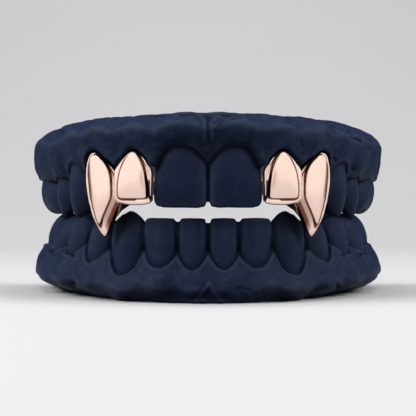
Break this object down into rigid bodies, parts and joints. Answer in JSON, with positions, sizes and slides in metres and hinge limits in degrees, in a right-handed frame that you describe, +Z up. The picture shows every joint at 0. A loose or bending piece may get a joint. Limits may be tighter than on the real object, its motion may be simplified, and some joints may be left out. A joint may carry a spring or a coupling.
{
  "type": "pair of fang tooth caps on a dental display cast",
  "caption": "Polished rose-gold double caps with long fangs, on the upper teeth of a dark stone cast of a closed bite, standing on a flat foot.",
  "frame": {"origin": "on the surface that the lower cast's flat foot stands on, under the middle of the whole", "axes": "+Z up, front teeth facing -Y, +Y towards the back of the mouth, +X to the wearer's left"},
  "size_m": [0.066, 0.0456, 0.0303],
  "materials": {
    "dental_stone": "matte",
    "rose_gold": "polished"
  },
  "bodies": {
    "root": {"upper_cast": "dental_stone", "lower_cast": "dental_stone", "right_double_cap": "rose_gold", "left_double_cap": "rose_gold"}
  },
  "joints": []
}
